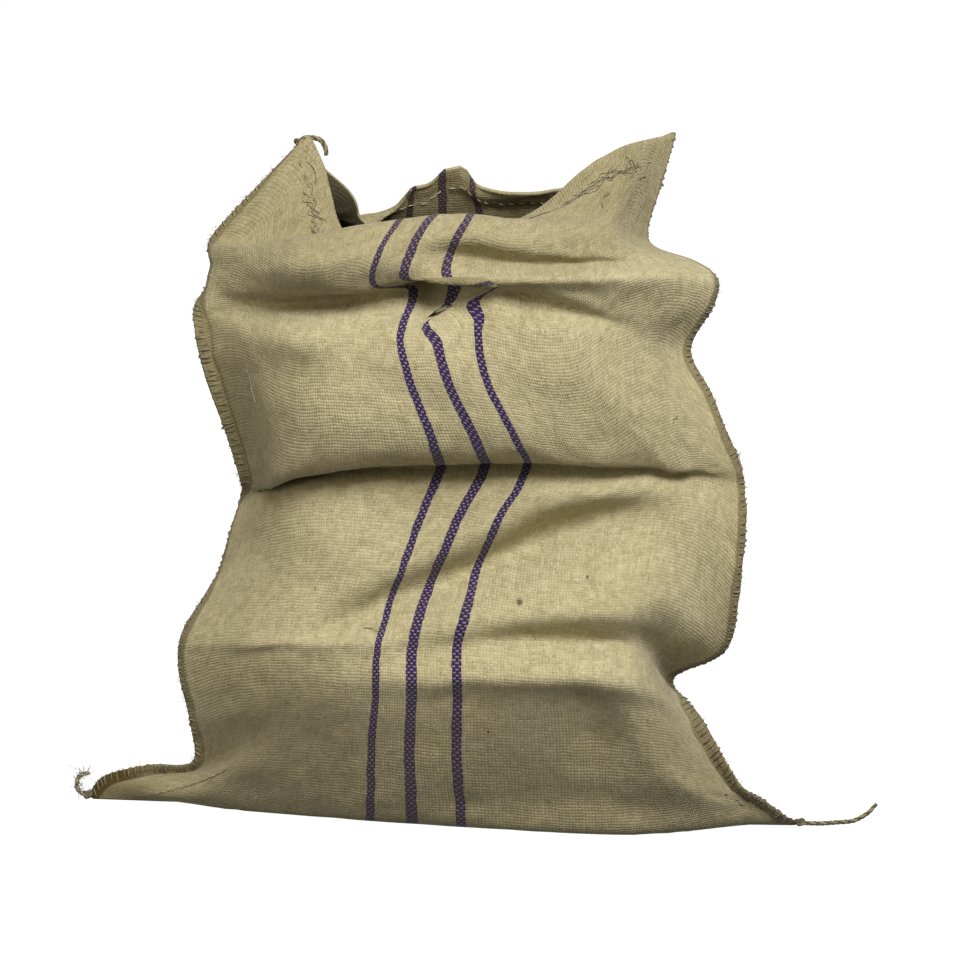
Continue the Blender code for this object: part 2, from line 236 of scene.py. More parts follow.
class Finish:
    """A material whose nodes are added by method calls."""

    def __init__(self, name, roughness, sheen=0.0):
        self.material = bpy.data.materials.new(name)
        self.material.use_nodes = True
        self.tree = self.material.node_tree
        self.surface = self.tree.nodes["Principled BSDF"]
        self.surface.inputs["Roughness"].default_value = roughness
        self.surface.inputs["Specular IOR Level"].default_value = 0.25
        self.surface.inputs["Sheen Weight"].default_value = sheen
        self.surface.inputs["Sheen Roughness"].default_value = 0.6

    def plug(self, socket, value):
        """Set a socket to a plain value, or link it to a socket or Number."""
        if isinstance(value, Number):
            value = value.socket
        if isinstance(value, bpy.types.NodeSocket):
            self.tree.links.new(value, socket)
        else:
            socket.default_value = value

    def node(self, kind, settings, inputs):
        """Any node: its type, its settings, then its sockets' values."""
        node = self.tree.nodes.new(kind)
        for key, value in settings.items():
            setattr(node, key, value)
        for key, value in inputs.items():
            self.plug(node.inputs[key], value)
        return node

    def math(self, operation, *numbers):
        node = self.node("ShaderNodeMath", {"operation": operation}, dict(enumerate(numbers)))
        return Number(self, node.outputs[0])

    def floor(self, number):
        return self.math("FLOOR", number)

    def fraction(self, number):
        return self.math("FRACT", number)

    def cosine(self, number):
        return self.math("COSINE", number)

    def larger(self, one, other):
        return self.math("MAXIMUM", one, other)

    def smooth(self, number, low, high):
        """0 below low, 1 above high, with soft ends."""
        node = self.node("ShaderNodeMapRange", {"interpolation_type": "SMOOTHSTEP"},
                         {"Value": number, "From Min": low, "From Max": high})
        return Number(self, node.outputs[0])

    def flat_place(self):
        """Where the point lies on the UV map: a vector socket and its numbers."""
        place = self.node("ShaderNodeTexCoord", {}, {}).outputs["UV"]
        parts = self.node("ShaderNodeSeparateXYZ", {}, {"Vector": place})
        return place, [Number(self, out) for out in parts.outputs]

    def vector(self, x, y, z):
        return self.node("ShaderNodeCombineXYZ", {}, {"X": x, "Y": y, "Z": z}).outputs[0]

    def noise(self, place, scale, detail):
        """Soft random number from 0 to 1; scale is waves for each unit of place."""
        node = self.node("ShaderNodeTexNoise", {"noise_dimensions": "3D"},
                         {"Vector": place, "Scale": scale, "Detail": detail})
        return Number(self, node.outputs[0])

    def blend(self, share, first, second):
        """Colour from first at share 0 to second at share 1."""
        node = self.node("ShaderNodeMix", {"data_type": "RGBA"},
                         {0: share, 6: first, 7: second})
        return node.outputs[2]

    def bump(self, height, distance, strength=1.0):
        """Tilt the shading as if the surface rose by height times distance."""
        node = self.node("ShaderNodeBump", {}, {"Strength": strength, "Distance": distance,
                                                "Height": height})
        self.plug(self.surface.inputs["Normal"], node.outputs[0])

    def colour(self, colour):
        self.plug(self.surface.inputs["Base Color"], colour)


# %% [markdown]
# ## The twine finish
#
# The seam twine is three yarns of jute twisted together, browner and hairier
# than the cloth.  Its colour changes in long streaks that follow the
# twist, so the pattern reads the UV map: turn round the twine, length along it.

# %% Twine finish
TWINE_DARK = (0.165, 0.132, 0.060, 1.0)
TWINE_LIGHT = (0.390, 0.335, 0.185, 1.0)
TWIST_PITCH = 0.009         # metres of twine for one turn of its yarns
GROOVE_SHADE = 0.45         # brightness of the dark colour between two yarns
YARN_DEPTH = 0.0006         # metres that the yarns seem to stand out


def twine_finish(name, dark, light):
    """Dark to light by streaks and wear; darker where cos of a yarn's turn is low."""
    finish = Finish(name, roughness=0.9, sheen=0.2)
    _, (turn, length, _) = finish.flat_place()
    yarn = finish.fraction(turn * YARNS + length * (1 / TWIST_PITCH))
    rounded = finish.smooth(finish.cosine((yarn - 0.5) * (2 * math.pi)), -0.9, 0.4)
    streak = finish.noise(finish.vector(turn * 6, length * 60, 0), 1.0, 3.0)
    worn = finish.noise(finish.vector(0, length * 25, 3), 1.0, 2.0)
    body = finish.blend(finish.smooth(streak * 0.6 + worn * 0.6, 0.35, 0.85), dark, light)
    groove_colour = tuple(GROOVE_SHADE * part for part in dark[:3]) + (1.0,)
    finish.colour(finish.blend(1.0 - rounded, body, groove_colour))
    finish.bump(rounded * 0.8 + streak * 0.5, YARN_DEPTH)
    return finish.material


seam_twine = twine_finish("seam_twine", TWINE_DARK, TWINE_LIGHT)
pale_thread = twine_finish("pale_thread", (0.400, 0.345, 0.200, 1.0), (0.660, 0.590, 0.400, 1.0))
dark_thread = twine_finish("dark_thread", (0.270, 0.205, 0.075, 1.0), (0.440, 0.350, 0.150, 1.0))
print("finishes:", seam_twine.name, pale_thread.name, dark_thread.name)

# %% [markdown]
# ## Three free ends of the seam twine
#
# The overcasting ends in a twisted tail at the right corner, a small curl at
# the top left and a stub at the left ear, which has bleached and frayed.  They
# come before the cloth because they are free cords, and their routes are those
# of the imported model.  Each is a plied tube, whose yarns turn round it as the
# real ones do.

# %% Pieces of twine
SACK_MIDDLE = (-8.5, 19.5, 0)       # middle of the sack in all the tables


def twine_piece(name, lines, radii, sides, reference, finish, **plying):
    """Tubes along lines in the tables' numbers, moved to the sack's middle."""
    points, faces, uv = tubes(lines, radii, sides, reference, **plying)
    piece = make_piece(name, points - SACK_MIDDLE, faces, finish, uv)
    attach(piece, "root")
    return piece


# %% Make the twine ends
TWINE_ENDS = {
    # name: (thickness, reference, finish, route)
    "twine_tail_right": (4.0, (0, 0, 1), seam_twine, (
        (305.3, -10, 3), (322, -12, 3), (338, -12, 4), (352, -10, 5), (364, -8, 11), (372, -6, 19))),
    "twine_curl_top_left": (4.5, (0, 1, 0), seam_twine, (
        (-127.3, 66, 585.8), (-123, 66, 589.3), (-116, 66, 590), (-109, 65, 588), (-105, 64, 582),
        (-104, 63, 575))),
    "twine_end_left_ear": (4.0, (0, 1, 0), pale_thread, (
        (-322.3, 80, 4), (-327, 80, 5), (-331, 79, 10), (-331, 78, 17), (-327, 77, 23), (-320, 75, 25))),
}
TWINE_SIDES = 14
TWINE_SPACING = 0.7         # millimetres between two rings of a free twine
MEASURED_POINTS = 400       # points of the line whose length is measured
ROUTE_POINTS = 24           # points of a line along each cord
PLIED_SWELL = 1.06          # radius over the yarns, for half the thickness
TIP_TAPER = 0.16            # how much of that the tip loses
YARN_LOBES = 0.28           # how far the yarns stand out
LOBE_PITCH = 1.5 * TWIST_PITCH      # metres for one turn of the lobes


def free_twine(name, thickness, reference, finish, route):
    """A twine end whose tip thins out, in place of the model's cord of that name."""

    def route_in(count):
        return through_each(route, np.linspace(0, len(route) - 1, count))

    length = along_line(route_in(MEASURED_POINTS))[-1]
    line = route_in(int(length / TWINE_SPACING))
    way = along_line(line) / length
    radius = thickness / 2 * (PLIED_SWELL - TIP_TAPER * smooth_step(0.75, 1.0, way))
    turn = 2 * np.pi * length * way * MILLIMETRE / LOBE_PITCH
    piece = twine_piece(name + "_plied", line[None], radius[None], TWINE_SIDES, reference, finish,
                        twist=turn[None], lobes=YARN_LOBES)
    declared = (route_in(ROUTE_POINTS) - SACK_MIDDLE) * MILLIMETRE
    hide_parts(name)
    print(f"   {name}: {length:.0f} mm long")


for twine_name, measures in TWINE_ENDS.items():
    free_twine(twine_name, *measures)

# %% [markdown]
# ## The folds of the cloth
#
# The sack's shape is two tables.  Each row is a fold line, from the floor to
# the mouth, and each column a line up the cloth: the left seam, a quarter
# line, the middle stripe, the other quarter line and the right seam.  A cloth
# solver could drape such a sack, but it would fall into folds of its own;
# fold lines let every fold be put where the real one is.

# %% Fold tables, in millimetres
SEAM_LIP = 6.5              # width of each seam's lip on the flat cloth
SEAM_ROOT_HALF = 2.0        # half thickness of the lip where it leaves the cloth
SEAM_EDGE_HALF = 1.3        # half thickness of the lip at its free edge
FLOOR_SNAP = 0.4            # cloth lower than this lies flat on the floor
STATIONS = (0.0, 0.22, 0.46, 0.72, 1.0)     # the table's columns, as shares across
LEFT_SEAM, LEFT_QUARTER, RIGHT_QUARTER, RIGHT_SEAM = 0, 1, 3, 4

FRONT_FOLDS = (
    # fold line        left seam        left quarter      middle stripe    right quarter     right seam
    ("bottom fold",    (-322, 80, 4),   (-182, 62, 0),    (-33, 38, 0),    (143, 8, 0),      (305, -10, 3)),
    ("floor edge",     (-307, 78, 21),  (-175, 38, 0),    (-31, -3, 0),    (150, -38, 0),    (289, -18, 14)),
    ("toe",            (-267, 70, 31),  (-162, 14, 32),   (-31, -22, 33),  (147, -52, 32),   (272, -28, 30)),
    ("lower front",    (-226, 56, 38),  (-148, -10, 76),  (-32, -43, 82),  (144, -76, 79),   (254, -32, 44)),
    ("low belly",      (-227, 42, 80),  (-140, -30, 117), (-30, -60, 126), (138, -96, 131),  (231, -28, 80)),
    ("belly",          (-236, 38, 126), (-135, -40, 159), (-30, -63, 164), (136, -102, 167), (211, -12, 109)),
    ("belly ridge",    (-233, 38, 159), (-132, -38, 178), (-24, -52, 190), (141, -76, 193),  (196, 8, 127)),
    ("shoulder",       (-212, 42, 194), (-122, -22, 219), (-10, -46, 227), (145, -74, 231),  (237, -20, 157)),
    ("upper shoulder", (-200, 52, 216), (-119, -14, 258), (7, -24, 268),   (154, -48, 277),  (246, -38, 215)),
    ("crease lip",     (-188, 50, 254), (-121, -2, 296),  (26, -14, 302),  (165, -34, 302),  (251, -36, 272)),
    ("main crease",    (-181, 58, 277), (-122, 20, 305),  (34, 2, 318),    (166, -18, 317),  (250, -26, 302)),
    ("overhang",       (-181, 50, 296), (-124, -26, 314), (33, -36, 325),  (164, -36, 321),  (247, -26, 318)),
    ("lobe low",       (-192, 44, 337), (-122, -44, 351), (21, -54, 354),  (150, -47, 352),  (237, -24, 342)),
    ("lobe",           (-209, 38, 388), (-124, -46, 398), (1, -58, 397),   (133, -52, 393),  (223, -16, 379)),
    ("lobe high",      (-217, 38, 425), (-127, -44, 431), (-7, -50, 435),  (128, -48, 434),  (206, 0, 415)),
    ("pocket crease",  (-218, 42, 447), (-125, 2, 455),   (2, -30, 468),   (128, -44, 458),  (224, -10, 454)),
    ("roll under",     (-210, 48, 464), (-125, -34, 469), (-34, -44, 478), (129, -52, 484),  (227, -8, 478)),
    ("roll front",     (-204, 52, 482), (-125, -48, 494), (-29, -48, 506), (120, -38, 500),  (209, 4, 491)),
    ("roll top",       (-208, 58, 496), (-123, -16, 513), (-11, -14, 533), (116, -32, 519),  (177, 22, 501)),
    ("valley",         (-200, 60, 510), (-124, 28, 490),  (-8, 22, 513),   (121, -8, 532),   (171, 26, 516)),
    ("flap",           (-168, 58, 544), (-104, 42, 502),  (-8, 32, 500),   (129, 8, 554),    (181, 28, 550)),
    ("mouth",          (-128, 66, 585), (-82, 50, 502),   (-8, 42, 492),   (126, 18, 575),   (194, 30, 596)),
)

BACK_FOLDS = (
    # fold line         beside left quarter     middle stripe    right quarter
    ("bottom fold",     0.0,  (-182, 62, 0),    (-33, 38, 0),    (143, 8, 0)),
    ("floor edge",      1.0,  (-172, 92, 0),    (-28, 92, 0),    (150, 58, 0)),
    ("heel",            2.0,  (-160, 114, 28),  (-26, 114, 30),  (150, 82, 28)),
    ("lower back",      4.0,  (-142, 132, 88),  (-22, 133, 94),  (146, 108, 90)),
    ("back trough",     5.2,  (-138, 118, 132), (-18, 124, 140), (144, 104, 134)),
    ("back belly",      6.6,  (-132, 134, 186), (-12, 140, 192), (142, 122, 180)),
    ("back shoulder",   8.5,  (-124, 128, 262), (0, 134, 270),   (144, 118, 258)),
    ("back crease lip", 9.6,  (-121, 118, 294), (8, 122, 300),   (146, 108, 292)),
    ("back crease",     10.5, (-120, 101, 306), (10, 103, 312),  (146, 96, 302)),
    ("back overhang",   11.5, (-121, 120, 314), (8, 124, 320),   (142, 108, 312)),
    ("back lobe",       13.4, (-122, 126, 388), (2, 130, 392),   (134, 114, 388)),
    ("back fold",       15.4, (-122, 112, 440), (-2, 114, 442),  (126, 103, 444)),
    ("back neck",       17.0, (-121, 116, 470), (-3, 118, 474),  (124, 100, 476)),
    ("back valley",     18.8, (-118, 104, 512), (-4, 102, 518),  (120, 84, 522)),
    ("mouth",           21.0, (-78, 92, 520),   (-4, 88, 546),   (98, 68, 546)),
)

print(len(FRONT_FOLDS), "fold lines on the front,", len(BACK_FOLDS), "on the back")

# %% [markdown]
# ## Soft troughs and ridges
#
# Between the fold lines the cloth has shallower bends.  Each is a bell: it is
# highest on its middle line and falls off to nothing two half widths away.
# Across is a share of the cloth's width and row a fold line's number; wide and
# high are the half widths both ways, and slope is the rise of the middle line.

# %% Small folds, on top of the fold lines
SMALL_FOLDS = {
    "front": (
        # fold                across  row    wide   high  slope  back   up    right
        ("dip, left",         0.40,   6.5,   0.13,  0.50, 4.5,   17.0,  0.0,  0.0),
        ("dip, right",        0.60,   7.4,   0.13,  0.52, 5.3,   21.0,  0.0,  0.0),
        ("bright band",       0.68,   6.5,   0.20,  0.50, 1.5,   -7.0,  0.0,  0.0),
        ("dip shade, left",   0.53,   7.00,  0.10,  0.70, 6.5,   20.0,  0.0,  0.0),
        ("dip shade, right",  0.66,   7.40,  0.12,  0.80, 3.8,   26.0,  0.0,  0.0),
        ("low right brow",    0.68,   6.22,  0.14,  0.36, 1.0,   -11.0, 0.0,  0.0),
        ("low right trough",  0.65,   5.27,  0.17,  0.42, 0.8,   24.0,  0.0,  0.0),
        ("low ridge",         0.62,   4.45,  0.22,  0.30, 0.3,   -8.0,  0.0,  0.0),
        ("left ridge",        0.22,   5.6,   0.20,  0.32, -1.2,  -5.0,  0.0,  0.0),
        ("right corner roll", 0.84,   2.4,   0.09,  0.60, -4.0,  -10.0, 4.0,  0.0),
        ("right corner dip",  0.70,   3.3,   0.06,  0.90, -7.0,  7.0,   0.0,  0.0),
        ("ear cone",          0.13,   1.5,   0.05,  0.80, 6.0,   -9.0,  3.0,  0.0),
        ("overhang corner",   0.12,   11.0,  0.07,  0.80, 0.0,   -4.0,  -8.0, 0.0),
        ("lobe shadow",       0.33,   14.0,  0.05,  0.70, 10.0,  7.0,   0.0,  0.0),
        ("lobe band",         0.20,   14.5,  0.16,  0.30, 0.0,   -4.0,  0.0,  0.0),
        ("roll crease, left", 0.14,   15.1,  0.11,  0.40, 0.0,   -7.0,  0.0,  0.0),
        ("fan trough",        0.62,   14.8,  0.15,  0.28, -3.0,  9.0,   0.0,  0.0),
        ("fan ridge",         0.60,   15.4,  0.12,  0.28, -3.0,  -4.0,  0.0,  0.0),
        ("stripe pinch",      0.435,  15.3,  0.05,  0.50, 4.0,   20.0,  2.0,  0.0),
        ("pinch eye",         0.432,  14.95, 0.022, 0.45, 4.0,   26.0,  0.0,  0.0),
        ("pinch lump",        0.497,  15.30, 0.055, 0.48, -2.0,  -26.0, 8.0,  15.0),
        ("pinch tuck",        0.495,  14.50, 0.055, 0.27, 8.0,   5.0,   0.0,  -19.0),
        ("stripe trough",     0.55,   16.75, 0.075, 0.36, -2.0,  24.0,  0.0,  0.0),
        ("top right trough",  0.69,   16.5,  0.12,  0.32, 0.5,   16.0,  0.0,  0.0),
        ("top right ridge",   0.66,   15.9,  0.14,  0.30, 0.0,   -6.0,  0.0,  0.0),
        ("flap hollow",       0.62,   18.8,  0.10,  0.70, 0.0,   8.0,   0.0,  0.0),
        ("flap tip",          0.08,   21.0,  0.05,  1.50, 0.0,   0.0,   7.0,  10.0),
        ("mouth edge, right", 0.62,   21.0,  0.055, 1.20, 0.0,   3.0,   -9.0, 3.0),
        ("flap edge",         0.09,   21.0,  0.030, 1.20, 0.0,   0.0,   0.0,  -4.0),
        ("flap tip, blunt",   0.020,  21.0,  0.030, 0.80, 0.0,   0.0,   14.0, 0.0),
    ),
    "back": (
        ("flap tip behind",   0.13,   21.0,  0.07,  1.50, 0.0,   0.0,   0.0,  15.0),
        ("mouth sag",         0.265,  21.0,  0.035, 1.30, 0.0,   0.0,   -9.0, 0.0),
        ("mouth rise",        0.400,  21.0,  0.035, 1.40, 0.0,   -6.0,  7.0,  -6.0),
        ("mouth hump, left",  0.462,  21.0,  0.025, 1.40, 0.0,   -10.0, 13.0, 0.0),
        ("mouth hump, right", 0.500,  21.0,  0.025, 1.40, 0.0,   -10.0, 15.0, 0.0),
    ),
}
print({side: len(folds) for side, folds in SMALL_FOLDS.items()}, "small folds")


def add_small_folds(points, side, across, rows):
    """Move the cloth by each small fold: bell = exp(-x^2 - y^2) round its middle."""
    for _, middle, row, half_across, half_rows, slope, back, up, right in SMALL_FOLDS[side]:
        off_across = (across[None, :] - middle) / half_across
        off_row = (rows[:, None] - row - slope * (across[None, :] - middle)) / half_rows
        bell = np.exp(-off_across**2 - off_row**2)
        points += bell[..., None] * np.array([right, back, up], float)
    return points


RUMPLES = ((1.3, (26, 16)), (0.5, (70, 44)))   # height, and numbers up and across


def rumple(height, waves):
    """Gentle random waves: random numbers on a coarse grid, curved through."""
    coarse = rng.normal(size=waves) * height
    down = through_each(coarse, rows / rows[-1] * (waves[0] - 1))
    return through_each(down.T, across * (waves[1] - 1)).T


# %% [markdown]
# ## Both sides of the cloth
#
# The grid has a row every few millimetres up the cloth and a column every few
# millimetres across it, closer together beside the seams.  Front and back
# meet in the bottom fold and, at each side, in the lip of the seam.

# %% The grid of the cloth
STEPS_PER_FOLD = 9          # rows of the grid from one fold line to the next
COLUMNS = 112
COLUMN_CROWDING = 0.35      # how much closer the columns lie at the seams

last_row = len(FRONT_FOLDS) - 1
rows = np.linspace(0, last_row, last_row * STEPS_PER_FOLD + 1)
even = np.linspace(0, 1, COLUMNS + 1)
across = even - COLUMN_CROWDING * np.sin(2 * np.pi * even) / (2 * np.pi)
rng = np.random.default_rng(41)
print(f"cloth grid: {len(rows)} rows by {len(across)} columns a side")


# %% Curves up the cloth
def station_curves(rows):
    """Front and back points at the five stations, for each row: (rows, 5, 3)."""
    front = through_each([fold[1:] for fold in FRONT_FOLDS], rows)
    back = front.copy()
    back[:, LEFT_QUARTER:RIGHT_SEAM] = through([fold[1] for fold in BACK_FOLDS],
                                               [fold[2:] for fold in BACK_FOLDS], rows)
    return front, back


# %% The lips of the seams
# How far each lip is turned behind the cloth at some fold lines, in degrees,
# and how wide it is there, in millimetres
LIP_TURNS = (
    # row   left  right  left width  right width
    (0.0,   20,   0,     7.0,        7.0),
    (1.5,   20,   -10,   9.0,        9.0),
    (3.0,   20,   -20,   9.0,        12.0),
    (4.5,   40,   -10,   8.0,        12.0),
    (5.5,   50,   30,    8.0,        8.0),
    (7.0,   65,   60,    8.0,        7.0),
    (9.5,   100,  60,    7.0,        7.0),
    (11.0,  -10,  70,    10.0,       7.0),
    (14.0,  -30,  50,    12.0,       8.0),
    (15.5,  60,   80,    9.0,        8.0),
    (17.0,  100,  100,   7.0,        6.5),
    (18.5,  45,   100,   7.0,        6.5),
    (21.0,  40,   95,    7.0,        6.5),
)
TURNED_INSET = 1.5          # how far inside the outline a turned lip's root lies
LIP_WAVES, LIP_WAVE = 64, 0.8   # how many small waves its width has, and how deep


def seam_frame(station, quarter, rows):
    """Edge of a side seam, the way from it to the lip's root, and the way frontward.

    The directions are worked out at the fold lines and curved through, so the
    lip turns gently where the seam has a corner.  A lip turned by angle t has
    inward' = inward cos t + frontward sin t.  Its root lies inside the seam line
    by what can be seen of its width, and its edge a width back from the root.
    """
    front, back = station_curves(np.arange(len(FRONT_FOLDS)))
    edge = front[:, station]
    along = unit(np.gradient(edge, axis=0))
    inward = (front[:, quarter] + back[:, quarter]) / 2 - edge
    inward = unit(inward - np.sum(inward * along, axis=1, keepdims=True) * along)
    frontward = np.cross(along, inward) * (-1 if station == LEFT_SEAM else 1)
    edge, inward, frontward = (through_each(way, rows) for way in (edge, inward, frontward))
    inward, frontward = unit(inward), unit(frontward)
    turns = np.array(LIP_TURNS)
    side = 1 if station == LEFT_SEAM else 2
    turn = np.radians(np.interp(rows, turns[:, 0], turns[:, side]))[:, None]
    width = np.interp(rows, turns[:, 0], turns[:, side + 2])
    waves = np.random.default_rng(station).normal(size=LIP_WAVES) * LIP_WAVE
    wave = through_each(waves, rows / last_row * (LIP_WAVES - 1))
    width = (width + wave)[:, None]
    seen_share = np.cos(np.minimum(turn, np.pi / 2))
    root = edge + inward * (TURNED_INSET + (width - TURNED_INSET) * seen_share)
    turned = inward * np.cos(turn) + frontward * np.sin(turn)
    frontward = frontward * np.cos(turn) - inward * np.sin(turn)
    return root - turned * width, turned * width, frontward


# %% Both outer skins
def cloth_sides(rows, across):
    """Outer skin of front and back, (rows, columns, 3), and both seams' frames.

    At each seam the front and back leave the root of the lip a little apart;
    they start together at the corner, where the cloth is one fold.
    """
    front, back = station_curves(rows)
    opening = np.clip(rows, 0, 1)[:, None]
    seams = {}
    for station, quarter in ((LEFT_SEAM, LEFT_QUARTER), (RIGHT_SEAM, RIGHT_QUARTER)):
        edge, lip_way, frontward = seam_frame(station, quarter, rows)
        seams[station] = (edge, lip_way, frontward)
        root = edge + lip_way
        front[:, station] = root + frontward * SEAM_ROOT_HALF * opening
        back[:, station] = root - frontward * SEAM_ROOT_HALF * opening
    sides = []
    for name, stations in (("front", front), ("back", back)):
        skin = through(STATIONS, stations.transpose(1, 0, 2), across).transpose(1, 0, 2)
        skin = add_small_folds(skin, name, across, rows)
        skin[skin[..., 2] < FLOOR_SNAP, 2] = 0.0
        sides.append(skin)
    return sides[0], sides[1], seams


def mean_directions(skin, axis):
    """Direction of the grid line through each point, halving any bend there."""
    steps = np.moveaxis(unit(np.diff(skin, axis=axis)), axis, 0)
    means = np.concatenate([steps[:1], steps[:-1] + steps[1:], steps[-1:]])
    return unit(np.moveaxis(means, 0, axis))


def backward_normals(skin):
    """Unit directions square to a skin, pointing from the front to the back."""
    return unit(np.cross(mean_directions(skin, 0), mean_directions(skin, 1)))


front, back, seams = cloth_sides(rows, across)
off_the_seams = np.sin(np.pi * across)[None, :] ** 0.5
off_the_floor = smooth_step(0.6, 2.0, rows)[:, None]
for skin in (front, back):
    waves = sum(rumple(height, counts) for height, counts in RUMPLES)
    skin += (waves * off_the_seams * off_the_floor)[..., None] * backward_normals(skin)
back[0] = front[0]
print(f"the front is {along_line(front)[-1].mean():.0f} mm long along its folds")

# %% [markdown]
# ## Inside skins, hem and lips
#
# Cloth has thickness, and at the mouth it is folded over into a hem, so the
# inner skin lies one cloth inside the outer one and nearly two at the hem.
# At the seam both cloths turn outwards and end in a rounded lip.

# %% The inner skins
CLOTH_THICKNESS = 2.0
HEM_THICKNESS = 3.2
HEM_WIDTH = 22.0
HEM_EDGE = 2.0              # the hem thins out over this much on each side of its edge
THIN_SHARE = 0.27           # share of a narrow gap that one wall may fill
NARROW_GAP, WIDE_GAP = 2.0, 12.0


def inner_sides(front, back):
    """Inner skins: one cloth inside the outer ones, or less in a narrow gap."""
    between = back - front
    gap = np.linalg.norm(between, axis=-1, keepdims=True)
    wide = np.clip((gap - NARROW_GAP) / (WIDE_GAP - NARROW_GAP), 0, 1)
    narrow_way = (1 - wide) * unit(between)
    inner = []
    for skin, sign in ((front, 1), (back, -1)):
        from_mouth = along_line(skin[::-1])[::-1][..., None]
        hem = smooth_step(HEM_WIDTH + HEM_EDGE, HEM_WIDTH - HEM_EDGE, from_mouth)
        thickness = CLOTH_THICKNESS + (HEM_THICKNESS - CLOTH_THICKNESS) * hem
        depth = np.minimum(thickness, THIN_SHARE * gap)
        inner.append(skin + sign * depth * unit(wide * backward_normals(skin) + narrow_way))
    return inner


inner_front, inner_back = inner_sides(front, back)
floor_middle = (front[1] + back[1]) / 2
floor_middle[:, 2] = np.maximum(floor_middle[:, 2], CLOTH_THICKNESS)
inner_front[0] = inner_back[0] = floor_middle
for end in (0, -1):
    inner_front[:, end] = inner_back[:, end] = (front[:, end] + back[:, end]) / 2
print("inner skins done; hem", HEM_WIDTH, "mm wide")

# %% The lip of each seam, from its edge to its root
# Share of the way in from the edge, and thickness as a share of the plain wedge
LIP_STATIONS = ((0.0, 0.0), (0.10, 0.95), (0.42, 1.12), (0.75, 1.05))


def lip_columns(station, sign):
    """Columns of a lip from its edge inward, on the front (+1) or back (-1)."""
    edge, lip_way, frontward = seams[station]
    opening = np.clip(rows, 0, 1)[:, None]
    columns = []
    for way_in, share in LIP_STATIONS:
        half = share * (SEAM_EDGE_HALF + (SEAM_ROOT_HALF - SEAM_EDGE_HALF) * way_in)
        columns.append(edge + lip_way * way_in + sign * frontward * half * opening)
    return np.stack(columns, axis=1)


def with_lips(skin, sign):
    """A skin with the columns of both lips beside it."""
    left = lip_columns(LEFT_SEAM, sign)
    right = lip_columns(RIGHT_SEAM, sign)[:, ::-1]
    return np.concatenate([left, skin, right], axis=1)


outer_front, outer_back = with_lips(front, 1), with_lips(back, -1)
lip = len(LIP_STATIONS)
print("columns a side with lips:", outer_front.shape[1])

# %% [markdown]
# ## The cloth as one closed piece
#
# The four skins are joined at the bottom fold, down the middle of each lip and
# over a rounded rim at the mouth.  The UV map is the flat cloth in metres:
# across it from the left seam, and up it from the bottom fold, so the weave
# can follow every fold at its real size.

# %% Join the skins
CLOTH_WIDTH = 600.0
RIM_RISE = 1.3              # how far the rim's middle stands above the skins
WEFT_LEVEL = 0.65           # how closely the weft keeps to the fold lines


def rim(skin, inner):
    """One row of points above the middle of the mouth's edge."""
    return ((skin[-1] + inner[-1]) / 2 + RIM_RISE * unit(skin[-1] - skin[-3]))[None]


skins = {"outer front": outer_front, "outer back": outer_back,
         "inner front": inner_front, "inner back": inner_back,
         "rim front": rim(front, inner_front), "rim back": rim(back, inner_back)}
lip_u = np.array([way_in - 1 for way_in, _ in LIP_STATIONS]) * SEAM_LIP
flat_across = {"outer": np.concatenate([lip_u, across * CLOTH_WIDTH, CLOTH_WIDTH - lip_u[::-1]]),
               "inner": across * CLOTH_WIDTH, "rim": across * CLOTH_WIDTH}

number, uv_parts, first = {}, [], 0
for name, skin in skins.items():
    layer, side = name.split()
    number[name] = first + np.arange(skin.shape[0] * skin.shape[1]).reshape(skin.shape[:2])
    first += number[name].size
    height = along_line(front if side == "front" else back)
    height = WEFT_LEVEL * height.mean(axis=1, keepdims=True) + (1 - WEFT_LEVEL) * height
    if name == "outer front":
        front_height = height
    if layer == "outer":
        height = np.pad(height, ((0, 0), (lip, lip)), mode="edge")
    if layer == "rim":
        height = height[-1:]
    flat_up = height if side == "front" else -height
    flat_right = np.broadcast_to(flat_across[layer], flat_up.shape)
    uv_parts.append(np.stack([flat_right, flat_up], axis=-1).reshape(-1, 2))
for layer in ("outer", "inner"):
    number[layer + " back"][0] = number[layer + " front"][0]
    number[layer + " back"][:, [0, -1]] = number[layer + " front"][:, [0, -1]]
number["rim back"][:, [0, -1]] = number["rim front"][:, [0, -1]]

# %% Faces of the cloth
cloth_faces = []
for name, flip in (("outer front", False), ("outer back", True),
                   ("inner front", True), ("inner back", False)):
    if name == "inner front":
        inner_start = len(cloth_faces)
    cloth_faces += grid_quads(number[name], flip).tolist()
inner_end = len(cloth_faces)
for side, flip in (("front", False), ("back", True)):
    rim_rows = np.stack([number["outer " + side][-1, lip:-lip],
                         number["rim " + side][0], number["inner " + side][-1]])
    cloth_faces += grid_quads(rim_rows, flip).tolist()
for end, inward in ((0, 1), (-1, -1)):      # one face closes each lip at the mouth
    lip_front, lip_back = (number[name][-1, ::inward][:lip + 1]
                           for name in ("outer front", "outer back"))
    ring = [*lip_front, number["rim front"][0, end], *lip_back[:0:-1]]
    cloth_faces.append([int(corner) for corner in ring[::inward]])

cloth_points = np.concatenate([skin.reshape(-1, 3) for skin in skins.values()]) - SACK_MIDDLE
cloth_points[:, 2] = np.maximum(cloth_points[:, 2], 0)
cloth_uv = np.concatenate(uv_parts) * MILLIMETRE
used = np.zeros(len(cloth_points), bool)
used[np.concatenate([np.asarray(face) for face in cloth_faces])] = True
renumber = np.cumsum(used) - 1
cloth_faces = [renumber[face].tolist() for face in cloth_faces]
cloth_points, cloth_uv = cloth_points[used], cloth_uv[used]
print("cloth points:", len(cloth_points), "faces:", len(cloth_faces))
